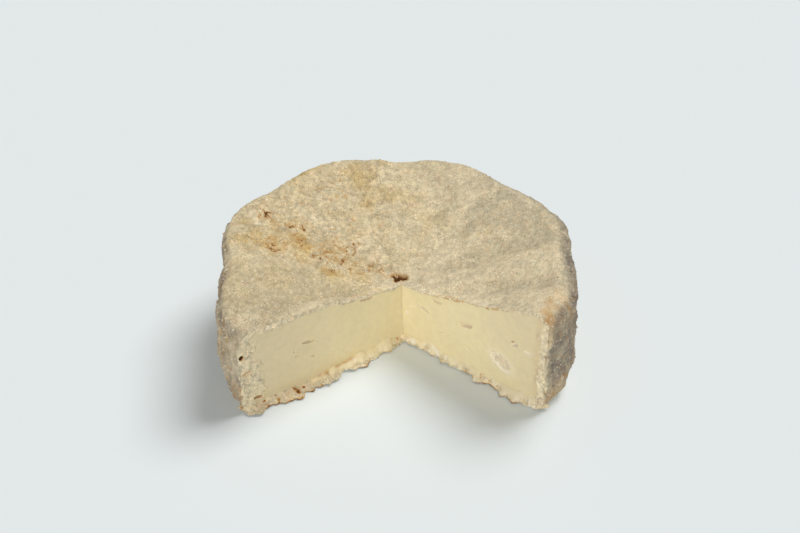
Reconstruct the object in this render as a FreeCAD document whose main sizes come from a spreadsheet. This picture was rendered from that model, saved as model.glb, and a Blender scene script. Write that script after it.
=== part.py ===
"""A small soft-ripened cheese wheel with one wide wedge cut out of it.

The wheel has matured unevenly: its rim stands high, its middle has sunk, its side bulges low
down, and the rind has drawn into folds round the side and into wrinkles across the top.  A
wedge has been cut out with its point a little beyond the wheel's centre.  The knife left two
flat faces of paste with a few gas holes, and tore the rind of the underside, which stands out
beyond both faces as a ragged lip.

The wheel is one piece, so it is one solid.  All sizes are in millimetres and degrees, +Z is
up, and the origin is under the middle of the piece, on the face that it rests on.
"""

import FreeCAD
import Part
import Sketcher
import math
import os

from FreeCAD import Placement, Rotation, Vector

NODE = "cheese"

# Driving dimensions: name, value, meaning.
DIMENSIONS = [
    ("wheel_radius", 57.1, "mean radius of the side at the rim"),
    ("rim_height", 35.7, "mean height of the rim"),
    ("middle_height", 21.6, "height of the sunken middle"),
    ("rim_lean", 1.4, "how much the rim rises to one side and falls to the other"),
    ("rim_lean_angle", 68.0, "direction of the high side"),
    ("rim_saddle", 0.7, "how much the rim rises to two opposite sides"),
    ("rim_saddle_angle", -44.0, "direction of one of them"),
    ("dish_power", 1.35, "how sharply the sunken top climbs towards the rim"),
    ("dish_lean", 0.2, "how much sharper it climbs to one side"),
    ("dish_lean_angle", 20.0, "direction of that side"),
    ("foot_round", 4.0, "rounding between the underside and the side"),
    ("shoulder_round", 5.2, "rounding between the side and the top"),
    ("stretch", 1.9, "how much longer than round the wheel is, each way from its centre"),
    ("stretch_angle", 97.0, "direction in which the wheel is longest"),
    ("side_bulge", 0.15, "mean distance by which the side swells beyond the rim"),
    ("bulge_lean", 1.75, "how much more the side swells at the back than in front"),
    ("bulge_lean_angle", 80.0, "direction in which it swells more"),
    ("bulge_saddle", 1.75, "how much more it swells to two opposite sides"),
    ("bulge_saddle_angle", 15.0, "direction of one of them"),
    ("bulge_skew", 0.75, "below 1 puts the swelling under half height"),
    ("lobe_count", 3.0, "lobes of the wheel's outline"),
    ("lobe_depth", 1.4, "half the depth of a lobe"),
    ("lobe_angle", 26.0, "direction of one lobe's crest"),
    ("fold_count", 8.0, "upright folds round the side"),
    ("fold_depth", 1.6, "half the depth of a fold"),
    ("fold_angle", 25.0, "direction of one fold's crest"),
    ("dent_count", 5.0, "broader dents round the side, which make the folds uneven"),
    ("dent_depth", 0.3, "half the depth of a dent"),
    ("dent_angle", 140.0, "direction of the crest between two dents"),
    ("wrinkle_count", 12.0, "wrinkles that run out across the top"),
    ("wrinkle_depth", 0.9, "about half the depth of a wrinkle"),
    ("wrinkle_angle", 4.0, "direction of one wrinkle's crest"),
    ("notch_angle", 104.0, "angle between the two cut faces"),
    ("point_back", 4.0, "how far the cut's point lies beyond the wheel's centre"),
    ("point_aside", 1.7, "how far the cut's point lies to the right of the centre"),
    ("edge_drop", 0.17, "share of its height by which the knife pressed the left edge down"),
    ("edge_width", 11.0, "distance from the left face at which the pressed edge ends"),
    ("edge_start", 0.42, "share of the left face's length at which it starts"),
    ("lip_rise", 2.6, "height at which the torn rind leaves the cut faces"),
    ("lip_edge", 1.0, "thickness of the torn rind at its edge"),
    ("corner_lip_reach", 2.6, "how far the rind stands out in the notch's corner"),
    ("left_lip_reach", 2.2, "how far the rind stands beyond the left face, at the side"),
    ("right_lip_reach", 1.8, "how far the rind stands beyond the right face, at the side"),
    ("left_lip_bow", 2.3, "how much further it stands out half way along the left face"),
    ("right_lip_bow", -0.9, "how much further it stands out half way along the right face"),
    ("rag_length", 13.0, "from one ragged point of the torn edge to the next"),
    ("rag_depth", 0.8, "half the depth of a ragged point"),
]

# Gas holes: name, face (-1 left, 1 right), share of the way from the cut's point to the side,
# share of the paste's height there, then half its length, half its height and half its depth.
EYES = [
    ("left_slit", -1, 0.566, 0.56, 2.6, 0.65, 0.8),
    ("left_pinhole", -1, 0.65, 0.46, 0.55, 0.5, 0.6),
    ("left_dimple", -1, 0.55, 0.30, 0.8, 0.5, 0.6),
    ("right_hollow", 1, 0.458, 0.71, 2.5, 0.9, 1.2),
    ("right_slit", 1, 0.764, 0.67, 1.5, 0.9, 1.0),
    ("right_pinhole", 1, 0.275, 0.39, 0.7, 0.7, 0.7),
    ("right_blind_eye", 1, 0.678, 0.34, 3.2, 2.2, 0.7),
    ("right_crack", 1, 0.156, 0.71, 2.4, 0.5, 0.8),
]
EYE_FIELDS = ("share_along", "share_up", "half_length", "half_height", "half_depth")

# How finely the skin is worked out, and what the cutting tools need.
FOOT_POINTS = 5
SIDE_POINTS = 6
SHOULDER_POINTS = 6
SHOULDER_TURN = 108.0     # of the shoulder's arc, over the rim's crest to the dish's slope
TOP_POINTS = 12
DIRECTIONS = 96
RAG_POINTS = 8            # along each ragged point of the torn edge
TOOL_CLEARANCE = 6.0      # by which the cutting tools pass the wheel

# The sizes that add up to the wheel's greatest radius.
OUTERMOST = ("wheel_radius", "stretch", "side_bulge", "bulge_lean", "bulge_saddle",
             "lobe_depth", "fold_depth", "dent_depth")


def size(sheet, name):
    """The value of one named dimension."""
    return float(sheet.get(name))


def make_sheet(doc):
    """Put every driving dimension in a spreadsheet, one row each, with its name as alias."""
    rows = list(DIMENSIONS)
    for name, _face, *values in EYES:
        for field, value in zip(EYE_FIELDS, values):
            rows.append((f"{name}_{field}", value, f"{field} of the gas hole {name}"))
    sheet = doc.addObject("Spreadsheet::Sheet", "Sizes")
    for row, (name, value, meaning) in enumerate(rows, start=1):
        sheet.set(f"A{row}", meaning)
        sheet.set(f"B{row}", str(value))
        sheet.setAlias(f"B{row}", name)
    doc.recompute()
    return sheet


# The wheel ------------------------------------------------------------------------------------

def wave(angle, count, crest):
    """A cosine with `count` crests in a turn, one of them in the direction `crest`."""
    return math.cos(math.radians(count * (angle - crest)))


def swing(sheet, name, count, angle):
    """A named size times its cosine with `count` crests in a turn."""
    return size(sheet, name) * wave(angle, count, size(sheet, f"{name}_angle"))


def wheel_profile(sheet, angle):
    """(radius, height) points up from the underside's edge and in, short of the centre."""
    foot = size(sheet, "foot_round")
    shoulder = size(sheet, "shoulder_round")
    middle = size(sheet, "middle_height")
    radius = size(sheet, "wheel_radius")
    radius += swing(sheet, "stretch", 2, angle)
    for kind in ("lobe", "fold", "dent"):
        crests = wave(angle, size(sheet, f"{kind}_count"), size(sheet, f"{kind}_angle"))
        radius += size(sheet, f"{kind}_depth") * crests
    height = size(sheet, "rim_height")
    height += swing(sheet, "rim_lean", 1, angle) + swing(sheet, "rim_saddle", 2, angle)
    bulge = size(sheet, "side_bulge")
    bulge += swing(sheet, "bulge_lean", 1, angle) + swing(sheet, "bulge_saddle", 2, angle)

    # The foot: a quarter circle.
    points = []
    for step in range(FOOT_POINTS):
        turn = math.radians(90 * step / FOOT_POINTS)
        points.append((radius - foot + foot * math.sin(turn), foot - foot * math.cos(turn)))

    # The side: upright, with a swelling that starts and ends smoothly.
    side = height - foot - shoulder
    for step in range(SIDE_POINTS):
        share = step / SIDE_POINTS
        swelling = math.sin(math.pi * share ** size(sheet, "bulge_skew")) ** 2
        points.append((radius + bulge * swelling, foot + side * share))

    # The shoulder: a quarter circle and a little more, over the rim's crest.
    for step in range(SHOULDER_POINTS + 1):
        turn = math.radians(SHOULDER_TURN * step / SHOULDER_POINTS)
        inward = shoulder * (1 - math.cos(turn))
        points.append((radius - inward, height - shoulder + shoulder * math.sin(turn)))

    # The top: a dish that climbs to the rim, with a wrinkle's crest or hollow added to it.
    edge, edge_height = points[-1]
    power = size(sheet, "dish_power") + swing(sheet, "dish_lean", 1, angle)
    wrinkle = wave(angle, size(sheet, "wrinkle_count"), size(sheet, "wrinkle_angle"))
    for step in range(1, TOP_POINTS + 1):
        share = 1 - step / TOP_POINTS
        dish = middle + (edge_height - middle) * share ** power
        ripple = size(sheet, "wrinkle_depth") * wrinkle * share * math.sin(math.pi * share)
        points.append((edge * share, dish + ripple))
    return points[:-1]


def triangle(*corners):
    """A flat facet with three corners."""
    return Part.Face(Part.makePolygon([*corners, corners[0]]))


def faceted_solid(faces):
    """The solid inside a closed set of flat faces."""
    shell = Part.Shell(faces)
    shell.sewShape()
    return Part.Solid(shell)


def pressed(sheet, point):
    """The point's place after the knife pressed the left face's upper edge down.

    Heights shrink by a share that grows with the square of the nearness to the left face, and
    evenly along it from where the pressed edge starts to the side.
    """
    face = -1
    from_cut = point - cut_point(sheet)
    behind = from_cut.dot(cut_direction(sheet, face).cross(Vector(0, 0, 1)))
    near = min(1.0, max(0.0, 1 - behind / size(sheet, "edge_width")))
    start = size(sheet, "edge_start")
    along = from_cut.dot(cut_direction(sheet, face)) / cut_length(sheet, face)
    out = min(1.0, max(0.0, (along - start) / (1 - start)))
    return Vector(point.x, point.y, point.z * (1 - size(sheet, "edge_drop") * near ** 2 * out))


def wheel_shape(sheet):
    """The whole wheel: facets between neighbouring profiles, on one flat underside."""
    profiles = []
    for step in range(DIRECTIONS):
        angle = 360.0 * step / DIRECTIONS
        turned = Rotation(Vector(0, 0, 1), angle)
        whole = [turned.multVec(Vector(r, 0, z)) for r, z in wheel_profile(sheet, angle)]
        profiles.append([pressed(sheet, point) for point in whole])
    foot_line = [profile[0] for profile in profiles]
    faces = [Part.Face(Part.makePolygon(foot_line + foot_line[:1]))]
    middle = Vector(0, 0, size(sheet, "middle_height"))
    for here, there in zip(profiles, profiles[1:] + profiles[:1]):
        for low in range(len(here) - 1):
            faces.append(triangle(here[low], there[low], there[low + 1]))
            faces.append(triangle(here[low], there[low + 1], here[low + 1]))
        faces.append(triangle(here[-1], there[-1], middle))
    return faceted_solid(faces)


# The notch ------------------------------------------------------------------------------------

def tool_reach(sheet):
    """Distance from the wheel's centre at which a cutting tool is clear of the wheel."""
    return sum(size(sheet, name) for name in OUTERMOST) + TOOL_CLEARANCE


def half_notch(sheet):
    """Half the angle between the two cut faces, in radians."""
    return math.radians(size(sheet, "notch_angle") / 2)


def cut_point(sheet, height=0.0):
    """The cut's point, at a height above the ground."""
    return Vector(size(sheet, "point_aside"), size(sheet, "point_back"), height)


def cut_direction(sheet, face):
    """Unit vector from the cut's point outwards along one face (-1 left, 1 right)."""
    return Vector(face * math.sin(half_notch(sheet)), -math.cos(half_notch(sheet)), 0)


def cut_length(sheet, face):
    """Length of one face along the ground, from the cut's point to the mean side."""
    start = cut_point(sheet)
    behind = start.dot(cut_direction(sheet, face))
    radius = size(sheet, "wheel_radius")
    return math.sqrt(radius ** 2 - start.dot(start) + behind ** 2) - behind


def tool_length(sheet):
    """Length of a cutting tool's side, from the cut's point to a line clear of the wheel."""
    return (size(sheet, "point_back") + tool_reach(sheet)) / math.cos(half_notch(sheet))


def make_upper_notch(doc, sheet):
    """The knife's own cut: a padded triangle above the torn rind."""
    body = doc.addObject("PartDesign::Body", "UpperNotch")
    ground = next(f for f in body.Origin.OriginFeatures if f.Role == "XY_Plane")
    sketch = body.newObject("Sketcher::SketchObject", "UpperNotchOutline")
    sketch.AttachmentSupport = [(ground, "")]
    sketch.MapMode = "FlatFace"
    sketch.setExpression("AttachmentOffset.Base.z", "Sizes.lip_rise")

    point = cut_point(sheet)
    left, right = [point + cut_direction(sheet, face) * tool_length(sheet) for face in (-1, 1)]
    sketch.addGeometry(Part.LineSegment(left, point), False)
    sketch.addGeometry(Part.LineSegment(point, right), False)
    sketch.addGeometry(Part.LineSegment(right, left), False)
    start, end = 1, 2
    for line in range(3):
        constraint = Sketcher.Constraint("Coincident", line, end, (line + 1) % 3, start)
        sketch.addConstraint(constraint)
    sketch.addConstraint(Sketcher.Constraint("Horizontal", 2))
    sketch.addConstraint(Sketcher.Constraint("Equal", 0, 1))
    driven = [
        (Sketcher.Constraint("DistanceX", -1, start, 1, start, point.x), "Sizes.point_aside"),
        (Sketcher.Constraint("DistanceY", -1, start, 1, start, point.y), "Sizes.point_back"),
        (Sketcher.Constraint("Angle", 1, start, 0, end, 2 * half_notch(sheet)),
         "Sizes.notch_angle * 1 deg"),
        (Sketcher.Constraint("DistanceY", 2, start, -1, start, tool_reach(sheet)),
         " + ".join(f"Sizes.{name}" for name in OUTERMOST) + f" + {TOOL_CLEARANCE}"),
    ]
    for constraint, expression in driven:
        index = sketch.addConstraint(constraint)
        sketch.setExpression(f"Constraints[{index}]", expression)

    pad = body.newObject("PartDesign::Pad", "UpperNotchPad")
    pad.Profile = sketch
    pad.setExpression("Length", "Sizes.rim_height + Sizes.rim_lean + Sizes.rim_saddle")
    body.Tip = pad
    return body


def torn_edge(sheet, face):
    """(distance along one face, distance beyond it) along the torn rind's edge.

    The rind's reach runs evenly from the notch's corner to the side, bowed by half a sine
    wave, and two sine waves that die out at the corner make it ragged.
    """
    half = half_notch(sheet)
    corner = size(sheet, "corner_lip_reach")
    first, first_reach = corner * math.cos(half), corner * math.sin(half)
    hand = "left" if face < 0 else "right"
    side_reach, bow = size(sheet, f"{hand}_lip_reach"), size(sheet, f"{hand}_lip_bow")
    rag = size(sheet, "rag_length")
    run = tool_length(sheet) - first
    steps = math.ceil(RAG_POINTS * run / rag)
    edge = []
    for step in range(steps + 1):
        passed = run * step / steps
        share = min(1.0, passed / (cut_length(sheet, face) - first))
        turn = 2 * math.pi * passed / rag
        ragged = size(sheet, "rag_depth") * (math.sin(turn) + 0.5 * math.sin(2.7 * turn))
        reach = first_reach + (side_reach - first_reach) * share + bow * math.sin(math.pi * share)
        reach += ragged * min(1.0, passed / rag)
        edge.append((first + passed, reach))
    return edge


def lower_notch_shape(sheet):
    """The torn part of the cut: it narrows from the faces, at the lip's rise, to its edge."""
    half = half_notch(sheet)
    edge, rise = size(sheet, "lip_edge"), size(sheet, "lip_rise")
    under, over, upper = [], [], []
    for face in (-1, 1):
        along = cut_direction(sheet, face)
        outward = Vector(-face * math.cos(half), -math.sin(half), 0)
        line = torn_edge(sheet, face)
        # The outline runs in along the left face and out along the right one.
        for distance, reach in line[:0:-1] if face < 0 else line:
            torn = cut_point(sheet) + along * distance + outward * reach
            whole = cut_point(sheet) + along * (0.0 if distance == line[0][0] else distance)
            under.append(torn + Vector(0, 0, -edge))
            over.append(torn + Vector(0, 0, edge))
            upper.append(whole + Vector(0, 0, rise))
    faces = [Part.Face(Part.makePolygon(outline + outline[:1])) for outline in (under, upper)]
    for low, high in ((under, over), (over, upper)):
        for here in range(len(low)):
            there = (here + 1) % len(low)
            faces.append(triangle(low[here], low[there], high[there]))
            faces.append(triangle(low[here], high[there], high[here]))
    return faceted_solid(faces)


# The gas holes --------------------------------------------------------------------------------

def make_eye(doc, sheet, name, face):
    """One gas hole: an ellipsoid with its middle on a cut face and its length along it."""
    eye = doc.addObject("Part::Ellipsoid", "".join(word.title() for word in name.split("_")))
    eye.setExpression("Radius1", f"Sizes.{name}_half_height")
    eye.setExpression("Radius2", f"Sizes.{name}_half_length")
    eye.setExpression("Radius3", f"Sizes.{name}_half_depth")
    along = cut_direction(sheet, face)
    place = cut_point(sheet) + along * (size(sheet, f"{name}_share_along") * cut_length(sheet, face))
    rise = size(sheet, "lip_rise")
    middle = size(sheet, "middle_height")
    out_share = math.hypot(place.x, place.y) / size(sheet, "wheel_radius")
    top = middle + (size(sheet, "rim_height") - middle) * out_share ** size(sheet, "dish_power")
    place.z = rise + size(sheet, f"{name}_share_up") * (top - rise)
    eye.Placement = Placement(place, Rotation(Vector(1, 0, 0), along))
    return eye


# The document ---------------------------------------------------------------------------------

doc = FreeCAD.newDocument("CheeseWheel")
sheet = make_sheet(doc)

wheel = doc.addObject("Part::Feature", "Wheel")
wheel.Shape = wheel_shape(sheet)
wheel.Placement = Placement()

lower_notch = doc.addObject("Part::Feature", "LowerNotch")
lower_notch.Shape = lower_notch_shape(sheet)
lower_notch.Placement = Placement()

upper_notch = make_upper_notch(doc, sheet)

tools = doc.addObject("Part::MultiFuse", "Cuts")
eyes = [make_eye(doc, sheet, name, face) for name, face, *_values in EYES]
tools.Shapes = [upper_notch, lower_notch] + eyes

cheese = doc.addObject("Part::Cut", "CutCheese")
cheese.Label = NODE
cheese.Base = wheel
cheese.Tool = tools
doc.recompute()

# The origin goes under the middle of the finished piece.
box = cheese.Shape.optimalBoundingBox(False)
cheese.Placement = Placement(Vector(-box.Center.x, -box.Center.y, -box.ZMin), Rotation())
doc.recompute()

for item in doc.Objects:
    if "Invalid" in item.State or "Error" in item.State:
        raise RuntimeError(f"{item.Label} did not recompute: {item.State}")
if wheel.Shape.Volume <= cheese.Shape.Volume:
    raise RuntimeError("the cuts took nothing away")
if cheese.Shape.isNull() or not cheese.Shape.isValid() or len(cheese.Shape.Solids) != 1:
    raise RuntimeError(f"{NODE} is not one valid solid")

os.makedirs("parts", exist_ok=True)
cheese.Shape.exportStep(os.path.join("parts", f"{NODE}.step"))
box = cheese.Shape.optimalBoundingBox(False)
print(f"{NODE}: {cheese.Shape.Volume / 1000:.1f} cm3, "
      f"{box.XLength:.1f} x {box.YLength:.1f} x {box.ZLength:.1f} mm")
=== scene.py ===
"""A small soft-ripened cheese wheel with a wide wedge cut out of it.

The rind is one skin that runs from the cut's point over the dished top, down the folded side
and back under the wheel.  The two cut faces are paste.  The torn rind of the underside and the
loose grains of the rind are pieces of their own.  Shapes are worked out in millimetres, and
become metres when they are put into a mesh.
"""

import math
from itertools import combinations

import bpy
import numpy as np
from mathutils import Matrix, Vector


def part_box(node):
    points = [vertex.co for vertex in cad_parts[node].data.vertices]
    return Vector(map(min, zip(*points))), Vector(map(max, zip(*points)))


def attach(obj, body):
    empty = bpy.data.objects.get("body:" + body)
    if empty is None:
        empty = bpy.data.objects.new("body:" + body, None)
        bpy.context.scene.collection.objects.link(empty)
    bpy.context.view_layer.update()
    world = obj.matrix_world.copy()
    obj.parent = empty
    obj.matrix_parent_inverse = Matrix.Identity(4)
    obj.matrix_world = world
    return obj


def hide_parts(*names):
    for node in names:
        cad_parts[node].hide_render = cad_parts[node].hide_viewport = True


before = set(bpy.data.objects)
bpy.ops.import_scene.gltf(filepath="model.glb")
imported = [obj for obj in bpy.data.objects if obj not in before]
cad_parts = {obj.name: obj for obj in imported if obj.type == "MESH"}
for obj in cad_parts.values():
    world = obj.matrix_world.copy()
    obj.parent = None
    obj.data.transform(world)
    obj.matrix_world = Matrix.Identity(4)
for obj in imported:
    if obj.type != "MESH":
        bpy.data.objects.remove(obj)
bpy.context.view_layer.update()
low, high = [np.array(corner) * 1000 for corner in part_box("cheese")]


# The room -------------------------------------------------------------------------------------
# A plain pale floor under soft studio light.  A wide lamp in front lights both cut faces, and a
# second one, high up behind on the right, lays the shadow to the left.

VIEW_AZIMUTH, VIEW_ELEVATION, VIEW_ROLL = 3.73, 36.74, -1.69
VIEW_DISTANCE = 0.3556
VIEW_AIM = Vector((0.00108, -0.00794, 0.0290))
LENS, FILM_WIDTH = 51.27, 36
BACKDROP = (228, 234, 234)
AMBIENT = 0.19
FLOOR_HALF, FLOOR_DROP = 6, 0.0002
LAMPS = [
    # azimuth and elevation of the lamp, strength, its apparent width, whether it casts shadows
    ("front_lamp", -14, 22, 1.8, 30, False),
    ("back_lamp", 134, 55, 2.22, 34, True),
]


def colour(red, green, blue):
    """A colour of 0 to 255 a channel, as the renderer's linear one."""
    share = np.array((red, green, blue)) / 255
    linear = np.where(share <= 0.04045, share / 12.92, ((share + 0.055) / 1.055) ** 2.4)
    return (*linear.tolist(), 1.0)


def towards(azimuth, elevation):
    """The unit vector from the object to something seen at that azimuth and elevation."""
    turn, rise = math.radians(azimuth), math.radians(elevation)
    return Vector((math.sin(turn) * math.cos(rise), -math.cos(turn) * math.cos(rise),
                   math.sin(rise)))


def add_object(name, data):
    """A new object with this data, in the scene."""
    made = bpy.data.objects.new(name, data)
    bpy.context.scene.collection.objects.link(made)
    return made


def node(tree, kind, values=(), **settings):
    """A shader node: its settings, then its sockets' values or the sockets that feed them."""
    made = tree.nodes.new(kind)
    for name, value in settings.items():
        setattr(made, name, value)
    for name, value in dict(values).items():
        if isinstance(value, bpy.types.NodeSocket):
            tree.links.new(value, made.inputs[name])
        else:
            made.inputs[name].default_value = value
    return made


def new_material(name):
    """A material with nothing in it but its output node."""
    material = bpy.data.materials.new(name)
    material.use_nodes = True
    material.node_tree.nodes.clear()
    return material, material.node_tree, node(material.node_tree, "ShaderNodeOutputMaterial")


scene = bpy.context.scene
back = towards(VIEW_AZIMUTH, VIEW_ELEVATION)
side = Vector((0, 0, 1)).cross(back).normalized()
roll = Matrix.Rotation(math.radians(VIEW_ROLL), 3, back)
axes = [roll @ side, roll @ back.cross(side), back]
camera_data = bpy.data.cameras.new("camera")
camera_data.lens, camera_data.sensor_width = LENS, FILM_WIDTH
camera_data.clip_start, camera_data.clip_end = 0.01, 20
camera = add_object("camera", camera_data)
camera.matrix_world = (Matrix.Translation(VIEW_AIM + back * VIEW_DISTANCE)
                       @ Matrix(axes).transposed().to_4x4())
scene.camera = camera
scene.view_settings.view_transform = "Standard"

for name, azimuth, elevation, strength, width, casts in LAMPS:
    lamp_data = bpy.data.lights.new(name, "SUN")
    lamp_data.energy, lamp_data.angle = strength, math.radians(width)
    lamp_data.use_shadow = casts
    lamp = add_object(name, lamp_data)
    lamp.rotation_mode = "QUATERNION"
    lamp.rotation_quaternion = towards(azimuth, elevation).to_track_quat("Z", "Y")

world = bpy.data.worlds.new("room")
world.use_nodes = True
scene.world = world
room = world.node_tree
room.nodes.clear()
seen = node(room, "ShaderNodeLightPath")
plain = node(room, "ShaderNodeBackground", {"Color": colour(*BACKDROP), "Strength": 1.0})
soft = node(room, "ShaderNodeBackground", {"Color": (1, 1, 1, 1), "Strength": AMBIENT})
seen_or_mirrored = node(room, "ShaderNodeMath", {0: seen.outputs["Is Camera Ray"],
                                                 1: seen.outputs["Is Glossy Ray"]},
                        operation="MAXIMUM")
mixed = node(room, "ShaderNodeMixShader", {0: seen_or_mirrored.outputs[0],
                                           1: soft.outputs[0], 2: plain.outputs[0]})
node(room, "ShaderNodeOutputWorld", {"Surface": mixed.outputs[0]})

floor_mesh = bpy.data.meshes.new("floor")
floor_mesh.from_pydata([(x * FLOOR_HALF, y * FLOOR_HALF, 0)
                        for x, y in ((-1, -1), (1, -1), (1, 1), (-1, 1))], [], [(0, 1, 2, 3)])
floor = add_object("floor", floor_mesh)
floor.location.z = -FLOOR_DROP
floor_material, floor_tree, floor_end = new_material("pale_floor")
pale = node(floor_tree, "ShaderNodeBsdfDiffuse", {"Color": colour(*BACKDROP)})
floor_tree.links.new(pale.outputs[0], floor_end.inputs["Surface"])
floor_mesh.materials.append(floor_material)


# The rind -------------------------------------------------------------------------------------
# A soft skin of white mould, dried and bruised to cream, grey and rust.  The wheel shrank as it
# ripened, which drew folds round the side and wrinkles across the sunken top, and the mould
# crumbles into grains.

WHEEL_RADIUS = 57.1
RIM_HEIGHT, MIDDLE_HEIGHT = 35.7, 21.6
RIM_LEAN, RIM_SADDLE = (1.4, 1, 68.0), (0.7, 2, -44.0)
DISH_POWER, DISH_LEAN = 1.35, (0.2, 1, 20.0)
FOOT_ROUND, SHOULDER_ROUND, SHOULDER_TURN = 4.0, 5.2, 108.0
STRETCH, LOBES, FOLDS, DENTS = (1.9, 2, 97.0), (1.4, 3, 26.0), (1.6, 8, 25.0), (0.3, 5, 140.0)
SIDE_BULGE, BULGE_LEAN, BULGE_SADDLE = 0.15, (1.75, 1, 80.0), (1.75, 2, 15.0)
BULGE_SKEW = 0.75
WRINKLES = (0.9, 12, 4.0)
CUT_POINT = np.array((1.7, 4.0))
HALF_NOTCH = math.radians(52)
LEFT_FACE, RIGHT_FACE = -1, 1
EDGE_DROP, EDGE_WIDTH, EDGE_START = 0.17, 11.0, 0.42

DIRECTIONS = 880
TOP_ROWS, SHOULDER_ROWS, SIDE_ROWS, FOOT_ROWS, UNDER_ROWS = 180, 28, 80, 14, 26
SEAM_ROW = TOP_ROWS + SHOULDER_ROWS // 2

RIND_CREAM = colour(220, 205, 171)
RIND_GREY = colour(198, 185, 154)
RIND_YELLOW = colour(203, 177, 122)
RIND_WARM = colour(216, 189, 152)
RIND_ORANGE = colour(196, 152, 92)
RIND_RUST = colour(104, 60, 24)
RIND_STAIN_AND_SHADE = colour(145, 133, 119)
HOLE_SHADE_BROWN = colour(46, 32, 20)
RIND_FLECK = colour(240, 230, 206)

# Where the rusty cracks crowd together: sideways, back, and how far they spread.
CRACKED = [(-43, 10, 4), (-38, 9, 3), (-31, 13, 4), (-21, 13, 4), (-15, 16, 4), (-21, 4, 3),
           (-15, 6, 3), (-8, 10, 3.5), (-32, 20, 4), (-43, 23, 4), (-4, 7, 2.5)]
# Where the ground under the mould shows through, ochre.
OCHRE = [(26, 21, 4), (-40, 12, 8), (-30, 14, 6), (-19, 8, 6)]
# The hollow, dark brown partly as painted shadow, and the singed ground round it: sideways, back,
# half width and half depth.
HOLLOW, SINGED = (0.2, 6.4, 2.2, 1.2), (-0.6, 7.0, 4.6, 1.9)
# The stain on the right shoulder: direction, width in degrees, radius and half width.
BRUISE = (-29, 20, 52.2, 2.6)
# Soft valleys: direction, how far it bends towards the middle, and width in degrees.
VALLEYS = [(15, 55, 11), (-12, 12, 10), (196, 0, 12)]
# How far out along each face the skin is frayed.
FRAYED = {LEFT_FACE: 18, RIGHT_FACE: 30}


def swing(angle, size, count, crest):
    """A size times a cosine with `count` crests in a turn, one of them in degrees at `crest`."""
    return size * np.cos(np.radians(count * (angle - crest)))


def rim_radius(angle):
    """Radius of the side, apart from its swelling: a circle, stretched, lobed, folded, dented."""
    return WHEEL_RADIUS + sum(swing(angle, *part) for part in (STRETCH, LOBES, FOLDS, DENTS))


def rim_crest(angle):
    """Height of the rim, which leans to one side and rises on two opposite ones."""
    return RIM_HEIGHT + swing(angle, *RIM_LEAN) + swing(angle, *RIM_SADDLE)


def skin_profile(angle, row):
    """(radius, height) of a row of the skin outside the dish, in each direction.

    Rows of the shoulder lie on a circle's arc, those of the side on an upright line with a
    swelling of sine squared added, and those of the foot on a quarter circle.
    """
    radius, crest = rim_radius(angle), rim_crest(angle)
    side_start, foot_start = SHOULDER_ROWS, SHOULDER_ROWS + SIDE_ROWS
    if row <= side_start:
        turn = math.radians(SHOULDER_TURN * (1 - row / SHOULDER_ROWS))
        return (radius - SHOULDER_ROUND * (1 - math.cos(turn)),
                crest - SHOULDER_ROUND * (1 - math.sin(turn)))
    if row <= foot_start:
        share = 1 - (row - side_start) / SIDE_ROWS
        swelling = SIDE_BULGE + swing(angle, *BULGE_LEAN) + swing(angle, *BULGE_SADDLE)
        return (radius + swelling * math.sin(math.pi * share ** BULGE_SKEW) ** 2,
                FOOT_ROUND + (crest - FOOT_ROUND - SHOULDER_ROUND) * share)
    turn = math.radians(90 * (1 - (row - foot_start) / FOOT_ROWS))
    return (radius - FOOT_ROUND * (1 - math.sin(turn)),
            FOOT_ROUND * (1 - math.cos(turn)) + 0 * radius)


def dish_height(angle, share):
    """Height of the top at a share of the way from the middle to the shoulder's inner edge:
    a power of the share, and a wrinkle that is deepest half way."""
    edge = skin_profile(angle, 0)[1]
    return (MIDDLE_HEIGHT + (edge - MIDDLE_HEIGHT) * share ** (DISH_POWER + swing(angle, *DISH_LEAN))
            + swing(angle, *WRINKLES) * share * np.sin(np.pi * share))


def random_numbers(cells, seed):
    """A number from 0 to 1 for each whole-numbered lattice point, mixed from its three numbers."""
    mixed = (cells[..., 0] * 73856093) ^ (cells[..., 1] * 19349663) ^ (cells[..., 2] * 83492791)
    mixed = (mixed ^ (seed * 668265263)) & 0xFFFFFFFF
    for _ in range(2):
        mixed = ((mixed ^ (mixed >> 15)) * 739982445) & 0xFFFFFFFF
    mixed ^= mixed >> 15
    return (mixed & 0xFFFFFF) / 0xFFFFFF


def smooth_noise(points, size, seed):
    """Soft noise from -1 to 1: random lattice values, blended by a smooth step in each cell."""
    place = points / size + 1000.0
    cell = np.floor(place).astype(np.int64)
    blend = place - cell
    blend = blend * blend * (3 - 2 * blend)
    total = 0
    for corner in np.ndindex(2, 2, 2):
        weight = np.prod(np.where(np.array(corner), blend, 1 - blend), axis=-1)
        total = total + weight * random_numbers(cell + np.array(corner), seed)
    return 2 * total - 1


def layered_noise(points, size, seed, layers=3):
    """Soft noise of several sizes, each half as wide and half as strong as the one before."""
    return sum(smooth_noise(points, size / 2 ** layer, seed + layer) / 2 ** layer
               for layer in range(layers))


def grain_field(points, size, seed):
    """(distance to the nearest grain's middle in cells, that grain's own number).  Each lattice
    cell holds one grain somewhere in it."""
    place = points / size + 1000.0
    cell = np.floor(place).astype(np.int64)
    near = np.full(place.shape[:-1], 9.0)
    own = np.zeros_like(near)
    for step in np.ndindex(3, 3, 3):
        other = cell + np.array(step) - 1
        middle = other + np.stack([random_numbers(other, seed + part) for part in range(3)], -1)
        distance = np.linalg.norm(place - middle, axis=-1)
        closer = distance < near
        own = np.where(closer, random_numbers(other, seed + 3), own)
        near = np.where(closer, distance, near)
    return near, own


def ramp(value, start, end):
    """0 up to start and 1 from end on, with a smooth step between them."""
    share = np.clip((value - start) / (end - start), 0, 1)
    return share * share * (3 - 2 * share)


def around(angle, middle, width):
    """1 in the direction `middle` and fading to 0 at `width` degrees from it."""
    off = np.abs((angle - middle + 180) % 360 - 180)
    return 1 - ramp(off, 0, width)


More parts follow.
